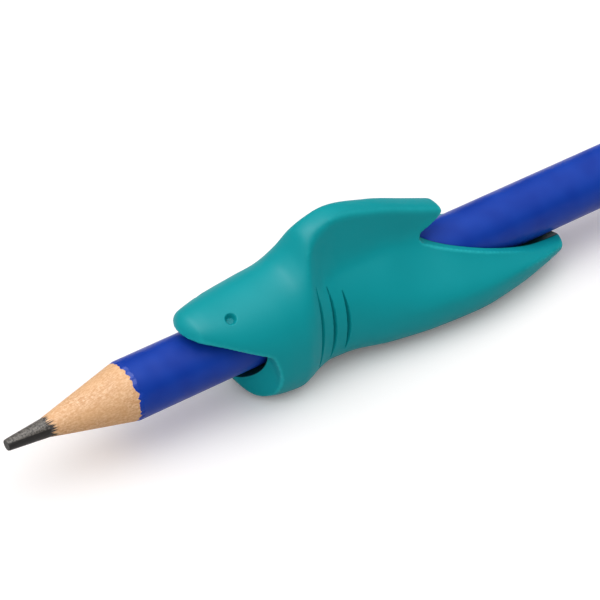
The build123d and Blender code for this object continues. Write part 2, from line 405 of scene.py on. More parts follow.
# %% Scoop, bore and bench
SCOOP_ROOT_RADIUS = 0.7
SCOOP_LEVEL_RADIUS = 20
FLAP_TIP_X = 37.2
FLAP_THICKNESS = 1.8
FLAP_RISE = 27
CHIN_BELL = 0.7
CHIN_BELL_LENGTH = 5.0
TAIL_BELL = 0.6
TAIL_BELL_LENGTH = 16.0

root_z = rim_z(SCOOP_X)
flap_z = root_z + (FLAP_TIP_X - FLAP_THICKNESS / 2 - SCOOP_X) * tan(radians(FLAP_RISE))
scoop = slab("scoop", [
    (SCOOP_X, root_z, SCOOP_ROOT_RADIUS),
    (SCOOP_LEVEL_X, rim_z(SCOOP_LEVEL_X), SCOOP_LEVEL_RADIUS),
    (FAR * 2, rim_z(FAR * 2), 0),
    (FAR * 2, FAR, 0),
    (FLAP_TIP_X, FAR, 0),
    (FLAP_TIP_X, flap_z, FLAP_THICKNESS / 2),
])
chin_x = MOUTH_X - (bore_radius + MOUTH_Z) * tan(radians(CHIN_SLOPE))
bore = turned("bore", [
    (-FAR, bore_radius + CHIN_BELL),
    (chin_x, bore_radius + CHIN_BELL),
    (chin_x + CHIN_BELL_LENGTH, bore_radius),
    (tail_x - TAIL_BELL_LENGTH, bore_radius),
    (tail_x, bore_radius + TAIL_BELL),
    (FAR * 2, bore_radius + TAIL_BELL),
])
rest_z = -axis_z / MM
bench = slab("bench", [
    (-FAR, rest_z, 0),
    (FAR * 2, rest_z, 0),
    (FAR * 2, -FAR, 0),
    (-FAR, -FAR, 0),
])
print("scoop, bore and bench", [len(cutter.data.polygons) for cutter in (scoop, bore, bench)], "faces")

# %% [markdown]
# ## Soft edges everywhere
# Rubber never comes out of a mould with a knife edge. A voxel remesh lays an even net over the cut skin, and
# a short smoothing then rounds every rim alike, which a Bevel could not do along such free curves. Two rims
# are plainly fuller on the real grip, the upper lip's and the jaw's, so a vertex group gives those more
# passes. The bore waits: it is cut last of all, so that its edge against the pencil stays crisp.

# %% Cut the skin and lay an even net
VOXEL = 0.23


def cut_out(obj, cutter):
    """Adds a Boolean that takes the cutter out of the object."""
    cut = obj.modifiers.new(cutter.name, "BOOLEAN")
    cut.object = cutter
    cut.operation = "DIFFERENCE"
    cut.solver = "MANIFOLD"


def bake(obj):
    """Turns the object and its modifiers into plain mesh, and removes the modifiers."""
    depsgraph = bpy.context.evaluated_depsgraph_get()
    mesh = bpy.data.meshes.new_from_object(obj.evaluated_get(depsgraph))
    obj.modifiers.clear()
    old, obj.data = obj.data, mesh
    bpy.data.meshes.remove(old)
    mesh.name = obj.name


cutters = [mouth, *jaws, scoop, bench]
for cutter in cutters:
    cut_out(skin, cutter)
net = skin.modifiers.new("net", "REMESH")
net.mode = "VOXEL"
net.voxel_size = VOXEL * MM
bake(skin)
for cutter in cutters:
    bpy.data.objects.remove(cutter)
print("net", len(skin.data.vertices), "points")

# %% Round its rims
ALL_OVER_PASSES = 3
LIP_PASSES = 4
LIP_REACH = 0.9
JAW_PASSES = 4
JAW_REACH = 1.0
BORE_MARGIN = 1.2
BENCH_MARGIN = 0.6


def to_drawing(points):
    """Points of the frame, in metres, as the drawing's millimetres."""
    return (points - (drawing_x, 0, axis_z)) / MM


places = np.empty(len(skin.data.vertices) * 3)
skin.data.vertices.foreach_get("co", places)
x, y, z = to_drawing(places.reshape(-1, 3)).T
lip_z = MOUTH_Z + (MOUTH_X - x) * tan(radians(LIP_SLOPE))
lip = (x < MOUTH_X) & (abs(z - lip_z) < LIP_REACH)
from_jaw_line = np.hypot(x - JAW_X + JAW_RADIUS, z - JAW_Z) - JAW_RADIUS
jaw = (abs(from_jaw_line) < JAW_REACH) & (z < JAW_TOP + JAW_REACH)
jaw &= (z > rest_z + BENCH_MARGIN) & (np.hypot(y, z) > bore_radius + BORE_MARGIN)
soft = skin.modifiers.new("all over", "SMOOTH")
soft.iterations = ALL_OVER_PASSES
for name, rim, passes in (("lip", lip, LIP_PASSES), ("jaw", jaw, JAW_PASSES)):
    skin.vertex_groups.new(name=name).add(np.flatnonzero(rim).tolist(), 1.0, "REPLACE")
    soft = skin.modifiers.new(name, "SMOOTH")
    soft.iterations = passes
    soft.vertex_group = name
bake(skin)
skin.vertex_groups.clear()
print("rounded", lip.sum(), "points of the lip and", jaw.sum(), "of the jaw further than the rest")

# %% [markdown]
# ## Trees of Geometry Nodes
# Marks that repeat and pieces that follow a rule are made with Geometry Nodes. A tree lists its sizes as
# named inputs; each object that uses it gets its own values through a modifier, and `grow` then turns the
# result into plain mesh.

# %% Helpers for Geometry Nodes
def new_tree(name, sizes, takes_mesh):
    """An empty tree with named inputs, and the outputs of its group input node."""
    tree = bpy.data.node_groups.new(name, "GeometryNodeTree")
    kinds = {float: "NodeSocketFloat", int: "NodeSocketInt"}
    if takes_mesh:
        tree.interface.new_socket("Mesh", in_out="INPUT", socket_type="NodeSocketGeometry")
    for size, value in sizes.items():
        socket = tree.interface.new_socket(size, in_out="INPUT", socket_type=kinds[type(value)])
        socket.default_value = value
    tree.interface.new_socket("Finish", in_out="INPUT", socket_type="NodeSocketMaterial")
    tree.interface.new_socket("Mesh", in_out="OUTPUT", socket_type="NodeSocketGeometry")
    return tree, tree.nodes.new("NodeGroupInput").outputs


def end_tree(tree, mesh, finish):
    """Closes a tree: instances made real, the material set, and the mesh handed out."""
    real = add(tree, "GeometryNodeRealizeInstances", {"Geometry": mesh})
    done = add(tree, "GeometryNodeSetMaterial", {"Geometry": real, "Material": finish})
    add(tree, "NodeGroupOutput", {"Mesh": done})
    print("tree", tree.name, len(tree.nodes), "nodes")


def grow(obj, tree, finish, **sizes):
    """Gives the object the tree with those sizes, then keeps the result as plain mesh."""
    modifier = obj.modifiers.new(tree.name, "NODES")
    modifier.node_group = tree
    given = {"Finish": finish, **{name.replace("_", " "): value for name, value in sizes.items()}}
    for socket in tree.interface.items_tree:
        if socket.in_out == "INPUT" and socket.name in given:
            modifier[socket.identifier] = given[socket.name]
    bake(obj)


# %% [markdown]
# ## Moulded elastomer
# The grip is a thermoplastic elastomer, shot into a mould whose steel was blasted to a fine satin. That gives
# the eye an even, deep teal with a broad soft sheen, no sparkle, and a very slight cloudiness where the melt
# flowed. Soft rubber also reflects less than hard plastic, so the specular level is well below the usual
# half. The blasting is really about 0.03 mm grain; it is drawn three times coarser so that it shows.
#
# The bore's wall is painted darker: a painted shade that stands in for the shadow deep in the bore and its
# bells. The material knows that wall by its distance from the axis, which grows where the bore bells out at
# the chin and at the tail.

# %% Rubber's teal
FLOW_CLOUD = 7.0
RIM_HIGHLIGHT_FROM = 0.6
RIM_HIGHLIGHT_FULL = 1.5


def finish_of(name):
    """A new material, its node tree and its shader."""
    material = bpy.data.materials.new(name)
    material.use_nodes = True
    return material, material.node_tree, material.node_tree.nodes["Principled BSDF"]


rubber, tree, shader = finish_of("moulded_elastomer")
place = add(tree, "ShaderNodeTexCoord").outputs["Object"]
cloud = add(tree, "ShaderNodeTexNoise", {
    "Vector": place, "Scale": 1 / (FLOW_CLOUD * MM), "Detail": 2.0,
}).outputs["Fac"]
tint = add(tree, "ShaderNodeMix", {
    "Factor": cloud, "A": colour("#06989F"), "B": colour("#0AA2AA"),
}, data_type="RGBA")
# Painted highlight: where the skin bends sharply outwards, the teal is mixed towards a paler one.
bend = add(tree, "ShaderNodeAttribute", attribute_name="rim").outputs["Fac"]
painted_rim_highlight = add(tree, "ShaderNodeMapRange", {"Value": bend, "From Min": RIM_HIGHLIGHT_FROM, "From Max": RIM_HIGHLIGHT_FULL})
tint = add(tree, "ShaderNodeMix", {"Factor": painted_rim_highlight, "A": tint, "B": colour("#20B3B9")}, data_type="RGBA")
print("finish", rubber.name)

# %% Rubber's painted shade in the bore, and its sheen
BLAST_GRAIN = 0.1
BORE_SHADE_FADE = 0.1


def drawing_space(tree):
    """Object coordinates as the drawing's millimetres, for a material."""
    return add(tree, "ShaderNodeMapping", {
        "Vector": add(tree, "ShaderNodeTexCoord").outputs["Object"],
        "Location": (-drawing_x / MM, 0, -axis_z / MM),
        "Scale": (1 / MM, 1 / MM, 1 / MM),
    })


drawn = drawing_space(tree)
along = add(tree, "ShaderNodeSeparateXYZ", {0: drawn}).outputs["X"]
spoke = add(tree, "ShaderNodeVectorMath", {0: drawn, 1: (0, 1, 1)}, operation="MULTIPLY")
from_axis = add(tree, "ShaderNodeVectorMath", {0: spoke}, operation="LENGTH")
chin_bell = add(tree, "ShaderNodeMapRange", {
    "Value": along, "From Min": chin_x, "From Max": chin_x + CHIN_BELL_LENGTH,
    "To Min": CHIN_BELL, "To Max": 0,
})
tail_bell = add(tree, "ShaderNodeMapRange", {
    "Value": along, "From Min": tail_x - TAIL_BELL_LENGTH, "From Max": tail_x,
    "To Min": 0, "To Max": TAIL_BELL,
})
bells = add(tree, "ShaderNodeMath", {0: chin_bell, 1: tail_bell}, operation="ADD")
off_bells = add(tree, "ShaderNodeMath", {0: from_axis, 1: bells}, operation="SUBTRACT")
# Painted shade: points on the bore's wall are mixed to a dark teal.
painted_bore_shade = add(tree, "ShaderNodeMapRange", {
    "Value": off_bells, "From Min": bore_radius + BORE_SHADE_FADE / 2, "From Max": bore_radius + BORE_SHADE_FADE,
    "To Min": 1, "To Max": 0,
})
tint = add(tree, "ShaderNodeMix", {"Factor": painted_bore_shade, "A": tint, "B": colour("#034A50")}, data_type="RGBA")
grain = add(tree, "ShaderNodeTexNoise", {
    "Vector": place, "Scale": 1 / (BLAST_GRAIN * MM), "Detail": 1.0,
}).outputs["Fac"]
sheen = add(tree, "ShaderNodeMapRange", {"Value": grain, "To Min": 0.4, "To Max": 0.54})
pits = add(tree, "ShaderNodeBump", {"Height": grain, "Strength": 0.05, "Distance": BLAST_GRAIN * MM})
fill(tree, shader, {
    "Base Color": tint, "Roughness": sheen, "Normal": pits, "IOR": 1.48, "Specular IOR Level": 0.1,
})
print(rubber.name, len(tree.nodes), "nodes")

# %% [markdown]
# ## Paler rims, a painted highlight
# The rubber's rims are painted a shade paler than its walls: a painted highlight that stands in for the light
# that rounded edges catch and that the elastomer lets through at thin rims. A mask painted on would have to be
# done again after every change. Instead a tree measures how sharply the skin bends at each point of the net,
# in radians per millimetre, and stores it as an attribute called rim, which the rubber's material reads. Each
# edge counts by its length, so that the net's short edges don't speckle the result.

# %% How sharply the skin bends
SPREAD = 2

rims, size = new_tree("rims", {"Spread": 1}, takes_mesh=True)
angle = add(rims, "GeometryNodeInputMeshEdgeAngle").outputs["Signed Angle"]
ends = add(rims, "GeometryNodeInputMeshEdgeVertices").outputs
length = add(rims, "ShaderNodeVectorMath", {
    0: ends["Position 1"], 1: ends["Position 2"],
}, operation="DISTANCE")
bend, area = (
    add(rims, "GeometryNodeBlurAttribute", {
        "Value": add(rims, "ShaderNodeMath", {0: value, 1: length}, operation="MULTIPLY"),
        "Iterations": size["Spread"],
    })
    for value in (angle, length)
)
sharp = add(rims, "ShaderNodeMath", {0: bend, 1: area}, operation="DIVIDE")
sharp = add(rims, "ShaderNodeMath", {0: sharp, 1: MM}, operation="MULTIPLY")
kept = add(rims, "GeometryNodeStoreNamedAttribute", {
    "Geometry": size["Mesh"], "Name": "rim", "Value": sharp,
})
end_tree(rims, kept, size["Finish"])
grow(skin, rims, rubber, Spread=SPREAD)
bends = np.empty(len(skin.data.vertices))
skin.data.attributes["rim"].data.foreach_get("value", bends)
print("bends", np.percentile(bends, [5, 50, 95]).round(2), "radians per mm")

# %% [markdown]
# ## Gills and eyes
# Three bowed gill slits and a round eye are sunk into each side. They could be cut with Booleans, but a slit
# that runs out to nothing at both ends leaves slivers. Here a tree pushes the skin inwards instead, by a
# depth worked out from each point's place, so the same rule makes every slit. The net is first made finer
# there.

# %% Finer net where the marks go
GILL_COUNT = 3
GILL_X = 16.53
GILL_PITCH = 1.98
GILL_LEAN = 0.062
GILL_TOP = 6.4
GILL_BOTTOM = -4.9
GILL_WIDTH = 0.56
GILL_BOW = 0.24
EYE_X = 5.85
EYE_ANGLE = radians(24)
FAR_EYE_DROP = radians(9)
EYE_DIAMETER = 1.5
MARK_MARGIN = 0.9
FINER_SPARE = 0.25
FINER_CUTS = 3

x, y, z = to_drawing(np.array([face.center for face in skin.data.polygons])).T
outside = np.hypot(y, z) > bore_radius + MARK_MARGIN
along = x - GILL_X - GILL_LEAN * z - GILL_BOW / 2
offset = (along + GILL_PITCH / 2) % GILL_PITCH - GILL_PITCH / 2
near_gill = abs(along - GILL_PITCH * (GILL_COUNT - 1) / 2) < GILL_PITCH * GILL_COUNT / 2
near_gill &= abs(offset) < GILL_WIDTH / 2 + FINER_SPARE
near_gill &= (z < GILL_TOP + FINER_SPARE) & (z > GILL_BOTTOM - FINER_SPARE)
eye_turn = EYE_ANGLE + (y > 0) * FAR_EYE_DROP
eye_off = np.hypot(x - EYE_X, abs(y) * np.cos(eye_turn) - z * np.sin(eye_turn))
near_eye = (eye_off < EYE_DIAMETER / 2 + FINER_SPARE) & (z > 0)
finer = bmesh.new()
finer.from_mesh(skin.data)
finer.faces.ensure_lookup_table()
chosen = [finer.faces[n] for n in np.flatnonzero(outside & (near_gill | near_eye))]
edges = list({edge for face in chosen for edge in face.edges})
bmesh.ops.subdivide_edges(finer, edges=edges, cuts=FINER_CUTS, use_grid_fill=True)
finer.to_mesh(skin.data)
finer.free()
print("finer net", len(skin.data.polygons), "faces")

# %% Each point's place in the drawing
marks, size = new_tree("marks", {
    "Gill Count": 3, "Gill X": 0.0, "Gill Pitch": 1.0, "Gill Lean": 0.0, "Gill Top": 1.0,
    "Gill Top Step": 0.0, "Gill Bottom": -1.0, "Gill Bottom Step": 0.0, "Gill Width": 0.5, "Gill Bow": 0.1,
    "Eye X": 0.0, "Eye Angle": 0.0, "Far Eye Drop": 0.0, "Eye Diameter": 1.0, "Depth": 0.5, "Nearest": 4.0,
}, takes_mesh=True)
here = add(marks, "GeometryNodeInputPosition")
shifted = add(marks, "ShaderNodeVectorMath", {0: here, 1: (drawing_x, 0, axis_z)}, operation="SUBTRACT")
drawn = add(marks, "ShaderNodeVectorMath", {0: shifted, "Scale": 1 / MM}, operation="SCALE")
x, y, z = add(marks, "ShaderNodeSeparateXYZ", {0: drawn}).outputs
across = add(marks, "ShaderNodeCombineXYZ", {1: y, 2: z})
from_axis = add(marks, "ShaderNodeVectorMath", {0: across}, operation="LENGTH")
outside = add(marks, "ShaderNodeMath", {0: from_axis, 1: size["Nearest"]}, operation="GREATER_THAN")
print(marks.name, len(marks.nodes), "nodes so far")

# %% Gill slits
GILL_TAPER = 0.8
GILL_BED = 0.4
GILL_FADE = 0.4

along = add(marks, "ShaderNodeMath", {0: x, 1: size["Gill X"]}, operation="SUBTRACT")
leant = add(marks, "ShaderNodeMath", {0: z, 1: size["Gill Lean"]}, operation="MULTIPLY")
along = add(marks, "ShaderNodeMath", {0: along, 1: leant}, operation="SUBTRACT")
gills = add(marks, "ShaderNodeMath", {0: along, 1: size["Gill Pitch"]}, operation="DIVIDE")
number = add(marks, "ShaderNodeMath", {0: gills}, operation="ROUND")
last = add(marks, "ShaderNodeMath", {0: size["Gill Count"], 1: 1.0}, operation="SUBTRACT")
number = add(marks, "ShaderNodeClamp", {"Value": number, "Min": 0.0, "Max": last})
top, bottom = (
    add(marks, "ShaderNodeMath", {0: number, 1: size[end + " Step"], 2: size[end]}, operation="MULTIPLY_ADD")
    for end in ("Gill Top", "Gill Bottom")
)
height = add(marks, "ShaderNodeMapRange", {
    "Value": z, "From Min": bottom, "From Max": top, "To Min": -1.0, "To Max": 1.0,
})
height_2 = add(marks, "ShaderNodeMath", {0: height, 1: height}, operation="MULTIPLY")
swell = add(marks, "ShaderNodeMath", {0: 1.0, 1: height_2}, operation="SUBTRACT")
middle = add(marks, "ShaderNodeMath", {0: number, 1: size["Gill Pitch"]}, operation="MULTIPLY")
away = add(marks, "ShaderNodeMath", {0: along, 1: middle}, operation="SUBTRACT")
bow = add(marks, "ShaderNodeMath", {0: swell, 1: size["Gill Bow"]}, operation="MULTIPLY")
away = add(marks, "ShaderNodeMath", {0: away, 1: bow}, operation="SUBTRACT")
away = add(marks, "ShaderNodeMath", {0: away}, operation="ABSOLUTE")
full = add(marks, "ShaderNodeMath", {0: swell, 1: GILL_TAPER}, operation="POWER")
half = add(marks, "ShaderNodeMath", {0: full, 1: size["Gill Width"]}, operation="MULTIPLY")
half = add(marks, "ShaderNodeMath", {0: half, 1: 0.5}, operation="MULTIPLY")
bed = add(marks, "ShaderNodeMath", {0: half, 1: GILL_BED}, operation="MULTIPLY")
slit = add(marks, "ShaderNodeMapRange", {"Value": away, "From Min": half, "From Max": bed})
deep = add(marks, "ShaderNodeMath", {0: swell, 1: GILL_FADE}, operation="POWER")
slit = add(marks, "ShaderNodeMath", {0: slit, 1: deep}, operation="MULTIPLY")
print("slits", GILL_COUNT, "a side,", GILL_WIDTH, "mm wide")

# %% Eyes
EYE_BED = 0.27

eye_x = add(marks, "ShaderNodeMath", {0: x, 1: size["Eye X"]}, operation="SUBTRACT")
side_y = add(marks, "ShaderNodeMath", {0: y}, operation="ABSOLUTE")
far = add(marks, "ShaderNodeMath", {0: y, 1: 0.0}, operation="GREATER_THAN")
turn = add(marks, "ShaderNodeMath", {
    0: far, 1: size["Far Eye Drop"], 2: size["Eye Angle"],
}, operation="MULTIPLY_ADD")
cosine = add(marks, "ShaderNodeMath", {0: turn}, operation="COSINE")
sine = add(marks, "ShaderNodeMath", {0: turn}, operation="SINE")
out = add(marks, "ShaderNodeMath", {0: side_y, 1: cosine}, operation="MULTIPLY")
up = add(marks, "ShaderNodeMath", {0: z, 1: sine}, operation="MULTIPLY")
eye_z = add(marks, "ShaderNodeMath", {0: out, 1: up}, operation="SUBTRACT")
eye_line = add(marks, "ShaderNodeCombineXYZ", {0: eye_x, 1: eye_z})
eye_off = add(marks, "ShaderNodeVectorMath", {0: eye_line}, operation="LENGTH")
rim, bed = (
    add(marks, "ShaderNodeMath", {0: size["Eye Diameter"], 1: share}, operation="MULTIPLY")
    for share in (0.5, EYE_BED)
)
eye = add(marks, "ShaderNodeMapRange", {
    "Value": eye_off, "From Min": rim, "From Max": bed,
}, interpolation_type="SMOOTHSTEP")
above = add(marks, "ShaderNodeMath", {0: z, 1: 0.0}, operation="GREATER_THAN")
eye = add(marks, "ShaderNodeMath", {0: eye, 1: above}, operation="MULTIPLY")
print("eyes", EYE_DIAMETER, "mm across")

# %% Marks pushed into the skin
GILL_TOP_STEP = -1.15
GILL_BOTTOM_STEP = 0.65
MARK_DEPTH = 0.75

mark = add(marks, "ShaderNodeMath", {0: slit, 1: eye}, operation="MAXIMUM")
mark = add(marks, "ShaderNodeMath", {0: mark, 1: outside}, operation="MULTIPLY")
depth = add(marks, "ShaderNodeMath", {0: size["Depth"], 1: -MM}, operation="MULTIPLY")
depth = add(marks, "ShaderNodeMath", {0: mark, 1: depth}, operation="MULTIPLY")
normal = add(marks, "GeometryNodeInputNormal").outputs["Normal"]
push = add(marks, "ShaderNodeVectorMath", {0: normal, "Scale": depth}, operation="SCALE")
sunk = add(marks, "GeometryNodeSetPosition", {"Geometry": size["Mesh"], "Offset": push})
smooth = add(marks, "GeometryNodeSetShadeSmooth", {"Geometry": sunk})
end_tree(marks, smooth, size["Finish"])
grow(
    skin, marks, rubber, Gill_Count=GILL_COUNT, Gill_X=GILL_X, Gill_Pitch=GILL_PITCH, Gill_Lean=GILL_LEAN,
    Gill_Top=GILL_TOP, Gill_Top_Step=GILL_TOP_STEP, Gill_Bottom=GILL_BOTTOM,
    Gill_Bottom_Step=GILL_BOTTOM_STEP, Gill_Width=GILL_WIDTH, Gill_Bow=GILL_BOW, Eye_X=EYE_X,
    Eye_Angle=EYE_ANGLE, Far_Eye_Drop=FAR_EYE_DROP, Eye_Diameter=EYE_DIAMETER, Depth=MARK_DEPTH,
    Nearest=bore_radius + MARK_MARGIN,
)

# %% Cut the bore and hand the grip over
SHARP_ANGLE = 50

cut_out(skin, bore)
bake(skin)
bpy.data.objects.remove(bore)
skin.data.shade_smooth()
skin.data.set_sharp_from_angle(angle=radians(SHARP_ANGLE))
skin.data.materials.clear()
skin.data.materials.append(rubber)
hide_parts("shark_grip")
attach(skin, "grip")
print("grip", len(skin.data.vertices), "points")

# %% [markdown]
# ## A pencil, and how a sharpener cuts it
# A pencil is a sandwich: two grooved slats of cedar glued round a graphite lead, turned round and dipped in
# lacquer. A sharpener then cuts one cone through all of it, never quite on centre, so the paint's edge and
# the lead's edge lean the same way, and the paint and the wood chip a little where they end. One tree makes
# all four pieces: it bends a flat grid into a ring with a front face, a wall, an end face and a bore.

# %% A grid to bend into a ring
FRONT_ROWS = 36
WALL_ROWS = 8
END_ROWS = 6
solid_rows = FRONT_ROWS + WALL_ROWS + END_ROWS

ring, size = new_tree("sharpened_ring", {
    "Inner": 1.0, "Outer": 2.0, "Front": 0.0, "End": 10.0, "Start": 0.0, "Slope": 0.2, "Tip": -50.0,
    "Tip Rounding": 0.1, "Lean": 0.0, "Lean Radius": 1.0, "Chips": 0.0, "Chip Reach": 0.5, "Seed": 0.0,
    "From": 0.0, "To": 6.0, "Columns": 12, "Split": 0.0,
}, takes_mesh=False)
hollow = add(ring, "ShaderNodeMath", {0: size["Inner"], 1: 0.0}, operation="GREATER_THAN")
rows = add(ring, "ShaderNodeMath", {0: hollow, 1: WALL_ROWS, 2: solid_rows}, operation="MULTIPLY_ADD")
row_points = add(ring, "ShaderNodeMath", {0: rows, 1: 1.0}, operation="ADD")
grid = add(ring, "GeometryNodeMeshGrid", {"Vertices X": size["Columns"], "Vertices Y": row_points}).outputs
uv = add(ring, "ShaderNodeSeparateXYZ", {0: grid["UV Map"]}).outputs
row = add(ring, "ShaderNodeMath", {0: uv["Y"], 1: rows}, operation="MULTIPLY")
stops = np.cumsum([0, FRONT_ROWS, WALL_ROWS, END_ROWS, WALL_ROWS]).tolist()
face, wall, end, back = (
    add(ring, "ShaderNodeMapRange", {"Value": row, "From Min": float(a), "From Max": float(b)})
    for a, b in zip(stops, stops[1:])
)
print("rows", solid_rows, "on a solid piece and", solid_rows + WALL_ROWS, "on a hollow one")

# %% Radius and turn round the ring
steps = add(ring, "ShaderNodeMath", {0: size["Columns"], 1: 1.0}, operation="SUBTRACT")
step = add(ring, "ShaderNodeMath", {0: 1.0, 1: steps}, operation="DIVIDE")
far_step = add(ring, "ShaderNodeMath", {0: 1.0, 1: step}, operation="SUBTRACT")
turn = add(ring, "ShaderNodeMapRange", {
    "Value": uv["X"], "From Min": step, "From Max": far_step, "To Min": size["From"], "To Max": size["To"],
})
centred = add(ring, "ShaderNodeMath", {0: uv["X"], 1: 0.5}, operation="SUBTRACT")
centred = add(ring, "ShaderNodeMath", {0: centred}, operation="ABSOLUTE")
edge = add(ring, "ShaderNodeMath", {0: step, 1: -0.5, 2: 0.5}, operation="MULTIPLY_ADD")
glued = add(ring, "ShaderNodeMath", {0: centred, 1: edge}, operation="GREATER_THAN")
glued = add(ring, "ShaderNodeMath", {0: glued, 1: size["Split"]}, operation="MULTIPLY")
share = add(ring, "ShaderNodeMath", {0: face, 1: end}, operation="SUBTRACT")
radius = add(ring, "ShaderNodeMapRange", {"Value": share, "To Min": size["Inner"], "To Max": size["Outer"]})
between = add(ring, "ShaderNodeMath", {0: size["Inner"], 1: size["Outer"]}, operation="ADD")
between = add(ring, "ShaderNodeMath", {0: between, 1: 0.5}, operation="MULTIPLY")
radius = add(ring, "ShaderNodeMix", {"Factor": glued, "A": radius, "B": between})
cosine = add(ring, "ShaderNodeMath", {0: turn}, operation="COSINE")
sine = add(ring, "ShaderNodeMath", {0: turn}, operation="SINE")
y = add(ring, "ShaderNodeMath", {0: radius, 1: sine}, operation="MULTIPLY")
z = add(ring, "ShaderNodeMath", {0: radius, 1: cosine}, operation="MULTIPLY")
print(ring.name, len(ring.nodes), "nodes so far")

# %% Front, as the sharpener leaves it
CHIPS_PER_MM = 0.9

rise = add(ring, "ShaderNodeMath", {0: radius, 1: size["Start"]}, operation="SUBTRACT")
rise = add(ring, "ShaderNodeMath", {0: rise, 1: size["Slope"]}, operation="DIVIDE")
front = add(ring, "ShaderNodeMath", {0: size["Front"], 1: rise}, operation="ADD")
leaning = add(ring, "ShaderNodeMapRange", {
    "Value": radius, "From Max": size["Lean Radius"], "To Max": size["Lean"],
})
lean = add(ring, "ShaderNodeMath", {0: cosine, 1: leaning}, operation="MULTIPLY")
front = add(ring, "ShaderNodeMath", {0: front, 1: lean}, operation="SUBTRACT")
around = add(ring, "ShaderNodeCombineXYZ", {0: size["Seed"], 1: sine, 2: cosine})
girth = add(ring, "ShaderNodeVectorMath", {0: around, "Scale": size["Inner"]}, operation="SCALE")
torn = add(ring, "ShaderNodeTexNoise", {
    "Vector": girth, "Scale": CHIPS_PER_MM, "Detail": 2.0, "Roughness": 0.5,
}).outputs[0]
torn = add(ring, "ShaderNodeMath", {0: torn, 1: 0.5}, operation="SUBTRACT")
torn = add(ring, "ShaderNodeMath", {0: torn}, operation="ABSOLUTE")
torn = add(ring, "ShaderNodeMath", {0: torn, 1: size["Chips"]}, operation="MULTIPLY")
inside = add(ring, "ShaderNodeMath", {0: radius, 1: size["Inner"]}, operation="SUBTRACT")
near = add(ring, "ShaderNodeMapRange", {"Value": inside, "From Min": size["Chip Reach"], "From Max": 0.0})
torn = add(ring, "ShaderNodeMath", {0: torn, 1: near}, operation="MULTIPLY")
front = add(ring, "ShaderNodeMath", {0: front, 1: torn}, operation="ADD")
front = add(ring, "ShaderNodeMath", {
    0: front, 1: size["Tip"], 2: size["Tip Rounding"],
}, operation="SMOOTH_MAX")
x = add(ring, "ShaderNodeMix", {"Factor": wall, "A": front, "B": size["End"]})
x = add(ring, "ShaderNodeMix", {"Factor": back, "A": x, "B": front})
print(ring.name, len(ring.nodes), "nodes so far")

# %% Put in its place and closed
SEAM = 0.002
CREASE = 5

drawn = add(ring, "ShaderNodeCombineXYZ", {0: x, 1: y, 2: z})
metres = add(ring, "ShaderNodeVectorMath", {0: drawn, "Scale": MM}, operation="SCALE")
placed = add(ring, "ShaderNodeVectorMath", {0: metres, 1: (drawing_x, 0, axis_z)}, operation="ADD")
bent = add(ring, "GeometryNodeSetPosition", {"Geometry": grid["Mesh"], "Position": placed})
closed = add(ring, "GeometryNodeMergeByDistance", {"Geometry": bent, "Distance": SEAM * MM})
angle = add(ring, "GeometryNodeInputMeshEdgeAngle").outputs["Unsigned Angle"]
soft = add(ring, "ShaderNodeMath", {0: angle, 1: radians(CREASE)}, operation="LESS_THAN")
smooth = add(ring, "GeometryNodeSetShadeSmooth", {"Geometry": closed, "Shade Smooth": soft}, domain="EDGE")
end_tree(ring, smooth, size["Finish"])

# %% [markdown]
# ## Cut cedar
# Incense cedar is pale orange with fine straight pores; where a blade crosses them at a slant they show as
# short flecks. Graphite drags out of the lead into the wood beside it, in streaks of uneven length. A flat
# wood picture would stretch over the cone, so the pores are noise drawn out along the pencil instead. The
# patterns of all three finishes live in the drawing's millimetres, so each scale is a size to be measured.

# %% Sizes read off the solids
lead_radius = (lead_high.z - lead_low.z) / 2 / MM
casing_radius = casing_high.y / MM
point_x = (lead_low.x - drawing_x) / MM
bared_x = (casing_low.x - drawing_x) / MM
painted_x = (lacquer_low.x - drawing_x) / MM
end_x = (lead_high.x - drawing_x) / MM
cut_slope = (casing_radius - lead_radius) / (painted_x - bared_x)
print("lead", round(bared_x - point_x, 2), "mm and wood", round(painted_x - bared_x, 2), "mm bared")

# %% Cedar's pores and flecks
PORE_WIDTH = 0.14
PORE_LENGTH = 1.1
PORE_DEPTH = 0.06
FLECK = 0.3
BANDS_PER_MM = 0.35

cedar, tree, shader = finish_of("cut_cedar")
drawn = drawing_space(tree)
grained = add(tree, "ShaderNodeVectorMath", {
    0: drawn, 1: (1 / PORE_LENGTH, 1 / PORE_WIDTH, 1 / PORE_WIDTH),
}, operation="MULTIPLY")
pores = add(tree, "ShaderNodeTexNoise", {
    "Vector": grained, "Scale": 1.0, "Detail": 3.0, "Roughness": 0.6,
}).outputs["Fac"]
flecks = add(tree, "ShaderNodeTexNoise", {
    "Vector": drawn, "Scale": 1 / FLECK, "Detail": 3.0, "Roughness": 0.7,
}).outputs["Fac"]
bands = add(tree, "ShaderNodeTexNoise", {
    "Vector": drawn, "Scale": BANDS_PER_MM, "Detail": 1.0,
}).outputs["Fac"]
mottle = add(tree, "ShaderNodeMath", {0: pores, 1: flecks}, operation="MULTIPLY")
mottle = add(tree, "ShaderNodeMapRange", {"Value": mottle, "From Min": 0.14, "From Max": 0.36})
wood_tint = add(tree, "ShaderNodeMix", {
    "Factor": mottle, "A": colour("#C98852"), "B": colour("#FBD3A8"),
}, data_type="RGBA")
wood_tint = add(tree, "ShaderNodeMix", {
    "Factor": bands, "A": wood_tint, "B": colour("#F0B980"),
}, data_type="RGBA")
ridges = add(tree, "ShaderNodeBump", {"Height": mottle, "Strength": 0.25, "Distance": PORE_DEPTH * MM})
dry = add(tree, "ShaderNodeMapRange", {"Value": mottle, "To Min": 0.85, "To Max": 0.65})
print("finish", cedar.name)

# %% Graphite dragged into the wood
SMEAR_WIDTH = 0.42
HAIR_WIDTH = 0.12
SMEAR_LENGTH = 1.5
SMEAR_SHORTEST = 0.05
SMEAR_FADE = (-0.12, 0.2)
CUT_LEAN = 0.12

